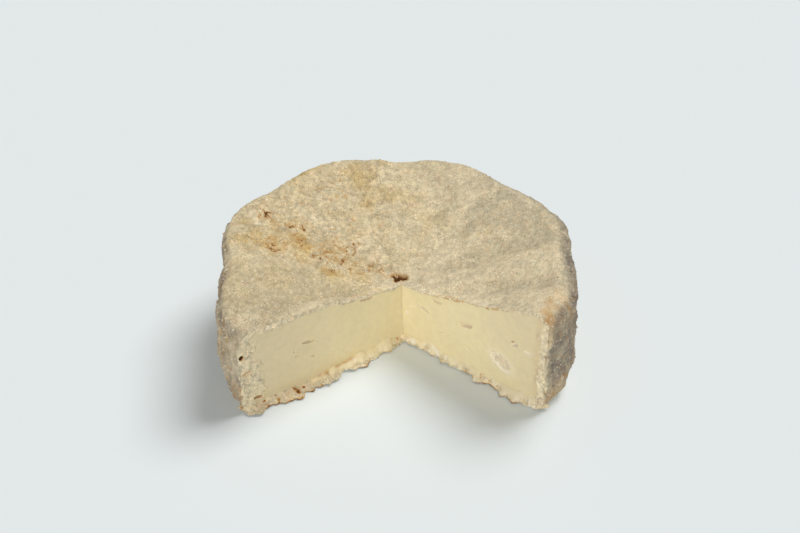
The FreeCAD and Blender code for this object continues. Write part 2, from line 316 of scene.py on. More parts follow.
def cut_direction(face):
    """Unit vector on the ground from the cut's point outwards along one face."""
    return np.array((face * math.sin(HALF_NOTCH), -math.cos(HALF_NOTCH)))


def behind_cut(points, face):
    """How far points lie behind one cut face, inside the cheese, and how far out along it."""
    along = cut_direction(face)
    spot = points[..., :2] - CUT_POINT
    return spot @ np.array((-along[1], along[0])) * face, spot @ along


def cut_length(face):
    """Length of one face along the ground, from the cut's point to the mean side."""
    onward = CUT_POINT @ cut_direction(face)
    return math.sqrt(WHEEL_RADIUS ** 2 - CUT_POINT @ CUT_POINT + onward ** 2) - onward


def pressed(points):
    """The points after the knife pressed the left face's upper edge down: heights shrink with
    the square of the nearness to that face, and evenly more towards the side."""
    behind, along = behind_cut(points, LEFT_FACE)
    near = np.clip(1 - behind / EDGE_WIDTH, 0, 1)
    out = np.clip((along / cut_length(LEFT_FACE) - EDGE_START) / (1 - EDGE_START), 0, 1)
    points[..., 2] *= 1 - EDGE_DROP * near ** 2 * out
    return points


def skin_rows():
    """The smooth skin: points about the wheel's middle for each row and direction.

    Each column leaves the cut's point in one direction, from the right face round the back to
    the left one.  A row of the dish is at one share of the way to the shoulder.  A row further
    on is where the column meets the profile, found by turning the profile's direction until
    it is the point's own.
    """
    turns = np.linspace(HALF_NOTCH - math.pi / 2, 3 * math.pi / 2 - HALF_NOTCH, DIRECTIONS + 1)
    heading = np.stack([np.cos(turns), np.sin(turns)], -1)
    back_on = heading @ CUT_POINT

    def meet(row):
        spot = CUT_POINT + heading * WHEEL_RADIUS
        for _ in range(5):
            angle = np.degrees(np.arctan2(spot[:, 1], spot[:, 0]))
            radius, height = skin_profile(angle, row)
            run = np.sqrt(radius ** 2 - CUT_POINT @ CUT_POINT + back_on ** 2) - back_on
            spot = CUT_POINT + heading * run[:, None]
        return run, height

    edge_run, _height = meet(0)
    rows = []
    for row in range(TOP_ROWS):
        spot = CUT_POINT + heading * (edge_run * row / TOP_ROWS)[:, None]
        angle = np.degrees(np.arctan2(spot[:, 1], spot[:, 0]))
        share = np.hypot(spot[:, 0], spot[:, 1]) / skin_profile(angle, 0)[0]
        rows.append(np.column_stack([spot, dish_height(angle, share)]))
    for row in range(SHOULDER_ROWS + SIDE_ROWS + FOOT_ROWS + 1):
        run, height = meet(row)
        rows.append(np.column_stack([CUT_POINT + heading * run[:, None], height]))
    foot_run = run
    for row in range(1, UNDER_ROWS + 1):
        spot = CUT_POINT + heading * (foot_run * (1 - row / UNDER_ROWS))[:, None]
        rows.append(np.column_stack([spot, 0 * foot_run]))
    return pressed(np.array(rows))


def grid_normals(points):
    """Unit normals of a grid of points, from the steps along its rows and columns."""
    normals = np.cross(np.gradient(points, axis=0), np.gradient(points, axis=1))
    length = np.linalg.norm(normals, axis=-1, keepdims=True)
    return normals / np.maximum(length, 1e-9)


def domes(near, width):
    """Rounded grains from the distance to each one's middle: 1 there and below 0 between them."""
    return np.clip(1 - (near / width) ** 2, 0, 1) - 0.4


def near_any(points, spots):
    """How near points lie to any of some spots: 1 on one, less by a bell curve around it."""
    return np.clip(sum(np.exp(-((points[..., 0] - sideways) ** 2 + (points[..., 1] - back_on) ** 2)
                              / spread ** 2) for sideways, back_on, spread in spots), 0, 1)


def skin_relief(points, normals):
    """(distance the skin stands out, masks of its colours and painted shade), worked out from place
    alone.
    """
    across, back_on, height = np.moveaxis(points, -1, 0)
    radius = np.hypot(across, back_on)
    angle = np.degrees(np.arctan2(back_on, across))
    top = ramp(normals[..., 2], 0.45, 0.92)
    under = ramp(-normals[..., 2], 0.5, 0.95)
    flank = 1 - top - under

    # Lumps, and the crumbs and grains that the mould dries into.
    lumps = layered_noise(points, 9.0, 1)
    warp = np.stack([smooth_noise(points, 3.0, 81 + part) for part in range(3)], -1)
    crumb, _own = grain_field(points + 1.4 * warp, 2.7, 11)
    small, own = grain_field(points + 0.8 * warp, 1.3, 15)
    crumbs, smalls = domes(crumb, 0.9), domes(small, 0.9)
    fuzz = layered_noise(points, 1.5, 21, 2)

    # The crumbly yellow ground behind and on the left, which ends in a ledge, with patches of
    # rusty cracks and pits.
    wavy = angle % 360 + 14 * layered_noise(points, 11.0, 43, 2)
    rough = top * ramp(wavy, 182, 164) * ramp(wavy, 44, 112) * ramp(radius, 3, 12)
    patches = near_any(points, CRACKED)
    patches = np.clip(1.3 * patches + 0.35 * layered_noise(points, 8.0, 53, 2), 0, 1)
    ridge = 1 - np.abs(layered_noise(points + 2.2 * warp, 3.6, 51))
    cracks = ramp(ridge, 0.945, 1.0) * ramp(0.8 * fuzz + patches, 0.55, 1.0)
    pits = 0.85 * ramp(smooth_noise(points, 1.1, 57), 0.55, 0.85)
    pits *= ramp(patches + smooth_noise(points, 9.0, 59), 0.0, 0.7)
    dots = ramp(smooth_noise(points, 0.9, 58), 0.45, 0.8)
    dots *= ramp(patches + 0.8 * smooth_noise(points, 7.0, 60), -0.1, 0.6)
    ochre = top * near_any(points, OCHRE) * ramp(layered_noise(points, 3.0, 77), -0.4, 0.5)
    holes = np.clip(cracks + pits, 0, 1) * rough

    # Soft valleys that run out across the right, finer creases, and upright ones in the side.
    valleys = sum(around(angle, middle + bend * np.exp(-radius / 16), width)
                  for middle, bend, width in VALLEYS)
    valleys *= ramp(radius, 10, 26) * ramp(radius, 58, 48)
    polar = np.stack([radius / 11, np.radians(angle) * 6, 0 * radius], -1)
    creases = layered_noise(polar, 1.0, 61, 2) * ramp(radius, 6, 25)
    upright = np.stack([np.radians(angle) * radius / 3.4, height / 12, 0 * radius], -1)
    pleats = layered_noise(upright, 1.0, 65, 3)
    # The side's crevices are painted darker and browner: partly dirt, partly painted shade.
    crevices = ramp(np.abs(pleats), 0.16, 0.0) * ramp(lumps, -0.7, 0.3)
    specks = ramp(smooth_noise(points, 1.1, 67), 0.5, 0.75)
    lace = ramp(np.abs(layered_noise(points + warp, 1.9, 69, 2)), 0.16, 0.0)
    glints = ramp(smooth_noise(points, 0.9, 68), 0.35, 0.8)

    # The hollow just behind the cut's point, which is as uneven as a crack. Its dark brown is partly
    # its own colour and partly painted shadow.
    shift = 1.1 * warp + 1.3 * fuzz[..., None]
    x, y, wide, deep = HOLLOW
    hollow = top * np.exp(-((across - x + shift[..., 0]) / wide) ** 2
                          - ((back_on - y + shift[..., 1]) / deep) ** 2)
    x, y, wide, deep = SINGED
    singed = top * np.exp(-((across - x) / wide) ** 2 - ((back_on - y) / deep) ** 2)
    singed *= ramp(fuzz + 0.5 * lumps, -0.4, 0.6)
    # Along the inner parts of both cuts the skin is frayed.
    hem = 0
    for face, end in FRAYED.items():
        behind, along = behind_cut(points, face)
        hem = hem + (top * ramp(behind + 0.8 * fuzz, 3.4, 1.2) * ramp(along, 2, 5)
                     * ramp(along, end + 8, end - 8))
    # A brown stain where the top rolls over beside the right face.
    bruise = ramp(layered_noise(points * (1, 1, 0.4), 4.0, 75, 2), -0.9, 0.3)
    middle, width, far_out, wide = BRUISE
    bruise *= (around(angle, middle, width) * np.exp(-((radius - far_out) / wide) ** 2)
               * ramp(height, 24, 29))
    # The side's crust, darker on the right and up to the rim: partly dried dark, partly painted
    # shade, with painted glints that lighten it in spots.
    outward = (normals[..., 0] * across + normals[..., 1] * back_on) / np.maximum(radius, 1)
    crust_and_shade = ramp(outward, 0.1, 0.6) * around(angle, 12, 70)
    # The right face's outer border stayed white, and the foot below it cream.
    behind, along = behind_cut(points, RIGHT_FACE)
    border = flank * ramp(behind + 0.8 * lumps, 1.8, 0.0) * ramp(along, 20, 40)
    pale_foot = flank * ramp(height + 3 * lumps, 14, 5) * around(angle, -25, 60)

    relief = 0.32 * lumps + 0.13 * fuzz
    relief += (0.03 * top + 0.17 * rough + 0.16 * flank) * smalls
    relief += (0.03 * top + 0.22 * rough + 0.12 * flank) * crumbs
    relief += hem * (0.3 * crumbs + 0.25 * smalls + 0.2)
    relief += top * (1 - rough) * (0.3 * creases - 1.1 * valleys) + 0.7 * rough
    relief += flank * (0.6 * pleats + 0.3 * layered_noise(points, 3.8, 71) - 0.6 * crevices)
    relief -= 0.7 * holes + 2.4 * hollow
    relief *= 1 - 0.6 * under

    masks = {
        "rust_and_shade": 0.64 * holes + 0.45 * rough * dots + 0.45 * rough * patches * ramp(ridge, 0.6, 1.0)
        + 0.25 * ochre + 0.4 * hem * ramp(fuzz, 0.1, 0.7) + 1.4 * hollow + 0.45 * singed
        + flank * (0.3 * crevices + 0.3 * specks) + 0.65 * bruise + 0.14 * pale_foot
        + 0.1 * flank * ramp(height, 9, 3)
        + 0.18 * flank * around(angle, 225, 50) * ramp(lumps, -0.6, 0.6),
        "yellow": rough * (0.3 + 0.65 * ramp(layered_noise(points, 12.0, 31), -0.4, 0.5))
        + 0.7 * ochre + 0.35 * top * (1 - rough) * around(angle, 188, 42),
        "grey": (1 - rough) * top * np.clip(
            0.7 * valleys + ramp(0.6 * lumps - creases, -0.4, 0.9) + 0.4 * around(angle, 45, 50)
            + 0.9 * around(angle, 195, 24) - 0.5 * around(angle, -32, 26)
            - 0.5 * ramp(radius, 30, 10), 0, 1),
        # The stain darkens the whole side: partly a real stain, partly painted shade on the side.
        "stain_and_shade": flank * (0.85 + 0.35 * lumps - 0.3 * pleats) + 0.3 * bruise
        + 0.5 * crust_and_shade - 0.8 * border - 0.3 * pale_foot,
        # The tone is partly random and partly painted shade: grains lighter on top and darker
        # between, the side and its crevices darker, and painted glints lighter on the crust.
        "tone_and_shade": 0.5 + 0.3 * rough * (crumbs + smalls) + 0.22 * smalls * (0.5 * flank + hem)
        + 0.1 * fuzz + 0.15 * (own - 0.5) - 0.35 * flank * crevices
        + 0.12 * layered_noise(points, 5.0, 35, 2)
        + 0.1 * top * (1 - rough) * around(angle, -25, 75)
        + 0.1 * border + 0.1 * hem - 0.2 * rough - flank * (0.12 + 0.3 * specks)
        - crust_and_shade * (0.08 + 0.12 * ramp(height, 12, 24) + 0.4 * specks + 0.35 * lace - 0.45 * glints)
        - 0.25 * (flank - crust_and_shade) * lace,
    }
    return relief, {mask: np.clip(values, 0, 1) for mask, values in masks.items()}


def store_masks(mesh, masks):
    """Give the mesh each mask as a number at every point."""
    for mask, values in masks.items():
        attribute = mesh.attributes.new(mask, "FLOAT", "POINT")
        attribute.data.foreach_set("value", values.astype(np.float32))


def mesh_from_grid(name, points, normals, masks, material, flip=False):
    """An object whose mesh joins a grid of points, in millimetres, into four-sided faces.

    A first or last row whose points coincide becomes one point with three-sided faces.
    """
    rows, columns = points.shape[:2]
    numbers = np.arange(rows * columns).reshape(rows, columns)
    for row in (0, -1):
        if np.ptp(points[row], axis=0).max() < 1e-6:
            numbers[row] = numbers[row, 0]
    quads = np.stack([numbers[:-1, :-1], numbers[1:, :-1], numbers[1:, 1:], numbers[:-1, 1:]], -1)
    quads = quads.reshape(-1, 4)
    if flip:
        quads = quads[:, ::-1]
    used, quads = np.unique(quads, return_inverse=True)
    quads = quads.reshape(-1, 4)
    keep = quads != np.roll(quads, -1, axis=1)
    sides = keep.sum(axis=1)

    mesh = bpy.data.meshes.new(name)
    mesh.vertices.add(len(used))
    mesh.vertices.foreach_set("co", (points.reshape(-1, 3)[used] / 1000).ravel())
    mesh.loops.add(int(sides.sum()))
    mesh.loops.foreach_set("vertex_index", quads[keep].astype(np.int32))
    mesh.polygons.add(len(quads))
    mesh.polygons.foreach_set("loop_start", np.concatenate([[0], np.cumsum(sides)[:-1]]))
    mesh.polygons.foreach_set("use_smooth", np.ones(len(quads), bool))
    mesh.update(calc_edges=True)
    store_masks(mesh, {mask: values.ravel()[used] for mask, values in masks.items()})
    if normals is not None:
        mesh.normals_split_custom_set_from_vertices(normals.reshape(-1, 3)[used])
    mesh.materials.append(material)
    return add_object(name, mesh)


def mix_colours(tree, share, first, second, how="MIX"):
    """The socket of a colour mixed from two, each a colour or a socket."""
    mixed = node(tree, "ShaderNodeMix", data_type="RGBA", blend_type=how)
    for socket, value in ((mixed.inputs["Factor"], share), (mixed.inputs[6], first),
                          (mixed.inputs[7], second)):
        if isinstance(value, bpy.types.NodeSocket):
            tree.links.new(value, socket)
        else:
            socket.default_value = value
    return mixed.outputs[2]


def math_node(tree, operation, *values):
    """The socket of a sum on numbers or sockets."""
    return node(tree, "ShaderNodeMath", dict(enumerate(values)), operation=operation).outputs[0]


def between(tree, value, start, end, low_value=0.0, high_value=1.0):
    """The socket of a value spread from start..end to low..high, and held there beyond."""
    return node(tree, "ShaderNodeMapRange", {"Value": value, "From Min": start, "From Max": end,
                                             "To Min": low_value, "To Max": high_value},
                interpolation_type="SMOOTHSTEP").outputs[0]


def noise_at(tree, size, detail=2.0, rough=0.55):
    """The socket of soft noise with features about `size` millimetres wide."""
    place = node(tree, "ShaderNodeTexCoord").outputs["Object"]
    return node(tree, "ShaderNodeTexNoise", {"Scale": 1000 / size, "Detail": detail,
                                             "Roughness": rough, "Vector": place}).outputs["Fac"]


# The mould's own look, for every piece that shows rind: ground colours by the piece's masks, with
# the painted shade and highlights some of them carry, and a fine grain that is too small for the
# mesh.
MASKS = ("rust_and_shade", "yellow", "grey", "stain_and_shade", "tone_and_shade")
mould = bpy.data.node_groups.new("mould", "ShaderNodeTree")
for mask in MASKS:
    mould.interface.new_socket(mask, in_out="INPUT", socket_type="NodeSocketFloat")
for label, kind in (("Colour", "NodeSocketColor"), ("Height", "NodeSocketFloat")):
    mould.interface.new_socket(label, in_out="OUTPUT", socket_type=kind)
given, out = node(mould, "NodeGroupInput"), node(mould, "NodeGroupOutput")
fine = noise_at(mould, 0.45, 3.0, 0.7)
powder = noise_at(mould, 1.6, 2.0)
blotch = noise_at(mould, 7.0, 3.0)
dusty = between(mould, noise_at(mould, 4.5, 2.0), 0.38, 0.62, 0.35, 1.0)
flecks = between(mould, noise_at(mould, 0.9, 1.0), 0.64, 0.76, 0.0, 0.6)
shade = mix_colours(mould, given.outputs["grey"], RIND_CREAM, RIND_GREY)
for mask, start, end, least, tint in (("yellow", 0.35, 0.6, 0.4, RIND_YELLOW),
                                      ("stain_and_shade", 0.3, 0.65, 0.5, RIND_STAIN_AND_SHADE)):
    share = math_node(mould, "MULTIPLY", given.outputs[mask],
                      between(mould, blotch, start, end, least, 1.0))
    shade = mix_colours(mould, share, shade, tint)
shade = mix_colours(mould, between(mould, noise_at(mould, 3.0, 3.0), 0.45, 0.7, 0.0, 0.4),
                    shade, RIND_WARM)
for share, uneven in ((1.0, between(mould, powder, 0.3, 0.7, 0.9, 1.1)),
                      (dusty, between(mould, fine, 0.3, 0.7, 0.7, 1.3)),
                      (1.0, between(mould, given.outputs["tone_and_shade"], 0.0, 1.0, 0.68, 1.26))):
    shade = mix_colours(mould, share, shade, uneven, "MULTIPLY")
shade = mix_colours(mould, flecks, shade, RIND_FLECK)
for start, end, most, tint in ((0.0, 0.6, 0.75, RIND_ORANGE), (0.4, 1.0, 0.95, RIND_RUST)):
    shade = mix_colours(mould, between(mould, given.outputs["rust_and_shade"], start, end, 0.0, most),
                        shade, tint)
mould.links.new(shade, out.inputs["Colour"])
mould.links.new(math_node(mould, "ADD", math_node(mould, "MULTIPLY", powder, 0.6), fine),
                out.inputs["Height"])


def read_masks(tree):
    """A mould group in this material, fed by the piece's masks."""
    placed = node(tree, "ShaderNodeGroup", node_tree=mould)
    for mask in MASKS:
        attribute = node(tree, "ShaderNodeAttribute", attribute_name=mask)
        tree.links.new(attribute.outputs["Fac"], placed.inputs[mask])
    return placed


rind_material, rind_tree, rind_end = new_material("rind")
rind_look = read_masks(rind_tree)
rind_bump = node(rind_tree, "ShaderNodeBump", {"Height": rind_look.outputs["Height"],
                                               "Strength": 1.0, "Distance": 0.00022})
rind_shader = node(rind_tree, "ShaderNodeBsdfPrincipled", {
    "Base Color": rind_look.outputs["Colour"], "Normal": rind_bump.outputs["Normal"],
    "Roughness": 0.88, "Specular IOR Level": 0.25, "Subsurface Weight": 0.12,
    "Subsurface Radius": (1.0, 0.7, 0.4), "Subsurface Scale": 0.0008})
rind_tree.links.new(rind_shader.outputs[0], rind_end.inputs["Surface"])

skin = skin_rows()
skin_normals = grid_normals(skin)
skin_normals[0], skin_normals[-1] = (0, 0, 1), (0, 0, -1)
# The wheel's middle lies so that the smooth skin fills the CAD box at its back and sides.
wheel_middle = np.array(((low[0] + high[0] - skin[..., 0].min() - skin[..., 0].max()) / 2,
                         high[1] - skin[..., 1].max(), 0.0))
relief, rind_masks = skin_relief(skin, skin_normals)
rind = skin + skin_normals * relief[..., None]
rind[..., 2] = np.maximum(rind[..., 2], 0.0)
rind[0], rind[-1] = rind[0].mean(axis=0), rind[-1].mean(axis=0)
rind_normals = grid_normals(rind)
rind_normals[0], rind_normals[-1] = (0, 0, 1), (0, 0, -1)
rind += wheel_middle
above, below = slice(0, SEAM_ROW + 1), slice(SEAM_ROW, None)
on_right, on_left = slice(0, DIRECTIONS // 2 + 1), slice(DIRECTIONS // 2, None)
for name, part in (("rind_top_right", (above, on_right)), ("rind_top_left", (above, on_left)),
                   ("rind_side_right", (below, on_right)), ("rind_side_left", (below, on_left))):
    piece = mesh_from_grid(name, rind[part], rind_normals[part],
                           {mask: values[part] for mask, values in rind_masks.items()},
                           rind_material)
    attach(piece, "root")
    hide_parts("cheese")


# The paste ------------------------------------------------------------------------------------
# The two flat faces that the knife left: pale yellow, waxy paste, darker towards the rind, with
# a few small gas holes and one healed-over eye.  Along the borders the rind itself is cut.

PASTE_INNER = colour(232, 216, 171)
PASTE_OUTER = colour(215, 199, 161)
PASTE_WHITE_AND_HIGHLIGHT = colour(238, 229, 208)
PASTE_STEPS = 2
FOOT_ROW = TOP_ROWS + SHOULDER_ROWS + SIDE_ROWS + FOOT_ROWS
EDGE_FADE = 0.9
HEALED = 1.0
# The cut rind's thickness along the top and the side of each face.
RIND_BANDS = {LEFT_FACE: (1.5, 5.8), RIGHT_FACE: (0.5, 2.5)}
# Gas holes and slits of each face: distance from the cut's point, height, half length, half height,
# depth, tilt, and how white (above 0) or brown (below 0) it is inside, the brown partly painted
# shadow, or that it healed over.
HOLES = {
    LEFT_FACE: [
        (34.5, 16.1, 2.6, 0.65, 0.9, 10, 0.0),
        (39.9, 14.6, 0.6, 0.4, 0.5, 0, 0.0),
        (39.1, 12.5, 1.0, 0.4, 0.4, 5, 0.0),
        (33.5, 9.8, 1.0, 0.45, 0.5, 20, 0.0),
        (54.0, 3.8, 1.6, 0.7, 1.0, 5, -0.3),
        (57.8, 21.5, 0.75, 0.9, 1.8, 0, -1.0),
        (56.7, 14.6, 1.7, 0.75, 0.45, -4, -0.05),
        (57.2, 11.6, 1.3, 0.5, 0.3, 6, 0.0),
        (13.0, 22.3, 2.6, 0.6, 0.8, 8, -0.1),
    ],
    RIGHT_FACE: [
        (2.2, 11.8, 0.8, 0.6, 0.5, -30, 0.7),
        (8.8, 16.7, 2.7, 0.5, 0.8, -14, 0.2),
        (4.2, 14.6, 1.3, 0.35, 0.4, -25, 0.1),
        (11.5, 13.8, 1.6, 0.3, 0.3, -20, 0.0),
        (25.9, 18.8, 2.5, 0.8, 1.2, 12, 0.1),
        (16.0, 10.8, 0.7, 0.5, 0.7, 0, 0.0),
        (27.1, 9.8, 1.9, 0.3, 0.35, -25, 0.0),
        (43.8, 21.0, 1.5, 1.0, 1.1, 20, 0.3),
        (49.3, 20.2, 1.8, 0.6, 0.5, -12, 0.6),
        (39.4, 11.4, 4.1, 2.5, 0.5, -24, HEALED),
        (36.4, 13.9, 0.5, 0.45, 0.5, 0, -0.2),
        (14.5, 22.2, 2.0, 0.5, 0.7, 5, -0.1),
    ],
}


def finer(line, steps):
    """A line of points with each run between two of them cut into equal steps."""
    places = np.arange((len(line) - 1) * steps + 1) / steps
    return np.stack([np.interp(places, np.arange(len(line)), part) for part in line.T], -1)


def blended(top, outer, bottom_corner):
    """A grid between a top and an outer border and straight inner and bottom ones: the blends
    both ways between opposite borders, less the corners' blend."""
    across = np.linspace(0, 1, len(top))[None, :, None]
    up = np.linspace(0, 1, len(outer))[:, None, None]
    bottom = bottom_corner + (outer[0] - bottom_corner) * across[0]
    inner = bottom_corner + (top[0] - bottom_corner) * up[:, 0]
    corners = ((1 - up) * ((1 - across) * bottom[0] + across * bottom[-1])
               + up * ((1 - across) * top[0] + across * top[-1]))
    return ((1 - up) * bottom[None] + up * top[None] + (1 - across) * inner[:, None]
            + across * outer[:, None] - corners)


def face_surface(face, edge):
    """(points, masks) of one cut face, whose top and outer borders are the rind's own edge.

    In the cut's plane the points are blended between the borders.  Off it, the border's own
    unevenness dies out within two millimetres, and the holes, the cut rind's roughness and the
    blade's faint waves are added.
    """
    along, inward = cut_direction(face), cut_direction(face)[::-1] * (-face, face)
    flat = np.stack([edge[:, :2] @ along, edge[:, 2], edge[:, :2] @ -inward], -1)
    top = finer(flat[:SEAM_ROW + 1], PASTE_STEPS)
    outer = finer(flat[SEAM_ROW:], PASTE_STEPS)[::-1]
    start = np.array((CUT_POINT @ along, 0.0, CUT_POINT @ -inward))
    plane = blended(top[:, :2], outer[:, :2], start[:2])
    run, height = plane[..., 0] - start[0], plane[..., 1]
    under_top = top[None, :, 1] - height
    in_side = outer[:, None, 0] - plane[..., 0]
    stand = ((top[None, :, 2] - start[2]) * np.exp(-(under_top / EDGE_FADE) ** 2)
             + (outer[:, None, 2] - start[2]) * np.exp(-(in_side / EDGE_FADE) ** 2)
             * (under_top > 1e-6))
    place = np.stack([run, height, np.full_like(run, 40.0 * face)], -1)

    # The cut rind along the borders, crumbly and thickest at the outer end.
    top_band, side_band = RIND_BANDS[face]
    uneven = layered_noise(place, 4.0, 101)
    cover = np.maximum(1 - under_top / (top_band * (0.4 + 0.9 * run / 60) * (1 + 0.6 * uneven)),
                       1 - in_side / (side_band * (1 + 0.35 * uneven)))
    cover = ramp(cover + 0.2 * layered_noise(place, 1.8, 105, 2), -0.2, 0.25)
    crumb, _own = grain_field(place, 1.7, 111)
    grain, own = grain_field(place, 0.8, 121)
    inside = np.clip(np.minimum(under_top, in_side) / EDGE_FADE, 0, 1)
    stand = stand + cover * inside * (0.28 * domes(crumb, 0.9) + 0.12 * domes(grain, 0.9)
                                      + 0.35 * uneven)

    # The blade's waves and its drag across the paste.
    drag = np.stack([run / 7 + height / 16, height / 1.1 - run / 7, 0 * run], -1)
    stand += (1 - cover) * inside * (0.16 * layered_noise(place, 13.0, 131)
                                     + 0.05 * smooth_noise(drag, 1.0, 141)
                                     + 0.03 * smooth_noise(place, 1.6, 145))
    white_and_highlight, brown_and_shade, healed = np.zeros_like(run), np.zeros_like(run), 0
    for far, high_up, half_long, half_high, deep, tilt, tint in HOLES[face]:
        slope = math.radians(tilt)
        right, rise = run - far, height - high_up
        across = (right * math.cos(slope) + rise * math.sin(slope)) / half_long
        upright = (rise * math.cos(slope) - right * math.sin(slope)) / half_high
        out = np.hypot(across, upright) + 0.32 * smooth_noise(place, 0.9, 151)
        stand -= deep * np.sqrt(np.clip(1 - out ** 2, 0, 1))
        stand += 0.12 * deep * np.exp(-((out - 1.15) / 0.2) ** 2)
        white_and_highlight += max(tint, 0) * ramp(out, 1.2, 0.85) * (0.45 if tint == HEALED else 1)
        brown_and_shade += 2 * max(-tint, 0) * ramp(out, 1.1, 0.7)
        # Inside it is painted brown along its upper side, as shade, and pale along its lower lip, as
        # a painted highlight.
        if tint != HEALED:
            brown_and_shade += (min(deep, 1) * ramp(out, 1.1, 0.7)
                      * ramp(upright, -0.5, 0.5))
        white_and_highlight += (0.6 * min(deep, 1) * ramp(out, 1.35, 0.9)
                  * ramp(upright, 0.0, -0.8))
        if tint == HEALED:
            # The healed eye: rough skin inside a soft white rim.
            white_and_highlight += 0.35 * np.exp(-((out - 1.1) / 0.35) ** 2)
            healed = ramp(out, 0.95, 0.6)
            cover = np.maximum(cover, 0.7 * healed)
            stand += 0.3 * healed * smooth_noise(place, 1.0, 155)
    # The inner corner is painted darker higher up, as shade, and the cut rind's border on the right
    # crinkled and brown.
    brown_and_shade += 0.2 * np.exp(-(run / 0.45) ** 2) * ramp(height, 4, 10)
    if face == RIGHT_FACE:
        brown_and_shade += (0.55 * np.exp(-((under_top - 0.3) / 0.35) ** 2)
                  * ramp(layered_noise(place, 1.2, 161, 2), -0.5, 0.5)
                  * ramp(run, 6, 14) * ramp(run, 50, 36))
        # Beside its outer border the paste has dried yellow.
        brown_and_shade += 0.22 * (1 - cover) * np.exp(-((in_side - 3.0) / 1.6) ** 2)

    points = np.concatenate([plane[..., :1] * along + (start[2] + stand)[..., None] * -inward,
                             plane[..., 1:]], -1)
    masks = {
        # Share of the way out along the face, shifted so that the left face is painted a little
        # darker and the right face lighter towards the bottom, as light and shade.
        "outward": run / cut_length(face) + (0.12 if face < 0 else height / 150 - 0.2),
        "cover": cover, "white_and_highlight": np.clip(white_and_highlight, 0, 1),
        "rust_and_shade": brown_and_shade, "yellow": 0 * run, "grey": (0.2 if face < 0 else 0) + 0.3 * uneven,
        "stain_and_shade": 0.2 * cover + 0.2 * healed,
        # The cut rind's grains are painted lighter on top and darker between, as shade.
        "tone_and_shade": np.clip(0.5 + 0.35 * domes(crumb, 0.85) + 0.3 * domes(grain, 0.85)
                        + 0.2 * (own - 0.5), 0, 1),
    }
    return points, masks


paste_material, paste_tree, paste_end = new_material("paste")
cover, outward_and_light, whiteness_and_highlight, brown_and_shade_share = [
    node(paste_tree, "ShaderNodeAttribute", attribute_name=mask).outputs["Fac"]
    for mask in ("cover", "outward", "white_and_highlight", "rust_and_shade")]
cut_rind = read_masks(paste_tree)
cloudy = math_node(paste_tree, "MULTIPLY", noise_at(paste_tree, 9.0, 3.0), 0.35)
# Paste yellow inside and beige outwards, with the faces' painted light and shade in the share.
paste_colour = mix_colours(paste_tree, between(
    paste_tree, math_node(paste_tree, "ADD", outward_and_light, cloudy), 0.45, 1.15), PASTE_INNER, PASTE_OUTER)
streaks = noise_at(paste_tree, 2.2, 3.0)
paste_colour = mix_colours(paste_tree, 1.0, paste_colour,
                           between(paste_tree, streaks, 0.3, 0.7, 0.975, 1.025), "MULTIPLY")
# White specks and rims, and the painted highlight along the holes' lower lips.
paste_colour = mix_colours(paste_tree, math_node(paste_tree, "MULTIPLY", whiteness_and_highlight, 0.7),
                           paste_colour, PASTE_WHITE_AND_HIGHLIGHT)
paste_colour = mix_colours(paste_tree, cover, paste_colour, cut_rind.outputs["Colour"])
# Orange, rust and darkest brown by the brown mask, which also paints the shade inside the holes and
# under the lip.
for start, end, most, tint in ((0.0, 0.7, 0.7, RIND_ORANGE), (0.4, 1.0, 1.0, RIND_RUST),
                               (1.1, 1.6, 1.0, HOLE_SHADE_BROWN)):
    paste_colour = mix_colours(paste_tree, between(paste_tree, brown_and_shade_share, start, end, 0.0, most),
                               paste_colour, tint)
fine_relief = math_node(paste_tree, "ADD", math_node(
    paste_tree, "MULTIPLY", cut_rind.outputs["Height"], cover),
    math_node(paste_tree, "MULTIPLY", noise_at(paste_tree, 1.2, 3.0), 0.25))
paste_bump = node(paste_tree, "ShaderNodeBump", {"Height": fine_relief, "Strength": 1.0,
                                                 "Distance": 0.00014})
paste_shader = node(paste_tree, "ShaderNodeBsdfPrincipled", {
    "Base Color": paste_colour, "Normal": paste_bump.outputs["Normal"],
    "Roughness": between(paste_tree, cover, 0.0, 1.0, 0.48, 0.88),
    "Specular IOR Level": 0.35, "Subsurface Weight": 0.25,
    "Subsurface Radius": (1.0, 0.75, 0.4), "Subsurface Scale": 0.0018})
paste_tree.links.new(paste_shader.outputs[0], paste_end.inputs["Surface"])

for name, face, column in (("paste_left", LEFT_FACE, -1), ("paste_right", RIGHT_FACE, 0)):
    surface, face_masks = face_surface(face, rind[:FOOT_ROW + 1, column] - wheel_middle)
    piece = mesh_from_grid(name, surface + wheel_middle, None, face_masks, paste_material,
                           flip=face > 0)
    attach(piece, "root")
    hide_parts("cheese")


# The torn lip ---------------------------------------------------------------------------------
# The knife dragged the tough rind of the underside with it and tore it, so that it stands out
# beyond both faces as a thin ragged lip: paste on top, which thins to the pale torn rind.

CORNER_REACH = 2.6
LIP_REACH, LIP_BOW = {LEFT_FACE: 2.2, RIGHT_FACE: 1.8}, {LEFT_FACE: 2.3, RIGHT_FACE: -0.9}
RAG_LENGTH, RAG_DEPTH = 13.0, 0.8
LIP_EDGE = 0.6
LIP_INSIDE = 2.5
LIP_STEP, LIP_ROUND = 0.25, 44
# Height of the paste on the lip, at distances along it that are negative on the left face.
LIP_PLACES = (-50, -34, -22, -12, 0, 4, 16, 50)
LIP_HEIGHTS = (1.9, 1.4, 2.0, 2.7, 2.3, 3.0, 4.0, 4.2)


def lip_reach(face, along):
    """How far the torn rind stands beyond a face: evenly from the corner to the side, bowed by
    half a sine wave, and ragged by two more that die out at the corner."""
    first = CORNER_REACH * math.cos(HALF_NOTCH)
    first_reach = CORNER_REACH * math.sin(HALF_NOTCH)
    passed = np.maximum(along - first, 0)
    share = np.clip(passed / (cut_length(face) - first), 0, 1)
    turn = 2 * np.pi * passed / RAG_LENGTH
    ragged = RAG_DEPTH * (np.sin(turn) + 0.5 * np.sin(2.7 * turn))
    return (first_reach + (LIP_REACH[face] - first_reach) * share
            + LIP_BOW[face] * np.sin(np.pi * share) + ragged * np.minimum(1, passed / RAG_LENGTH))


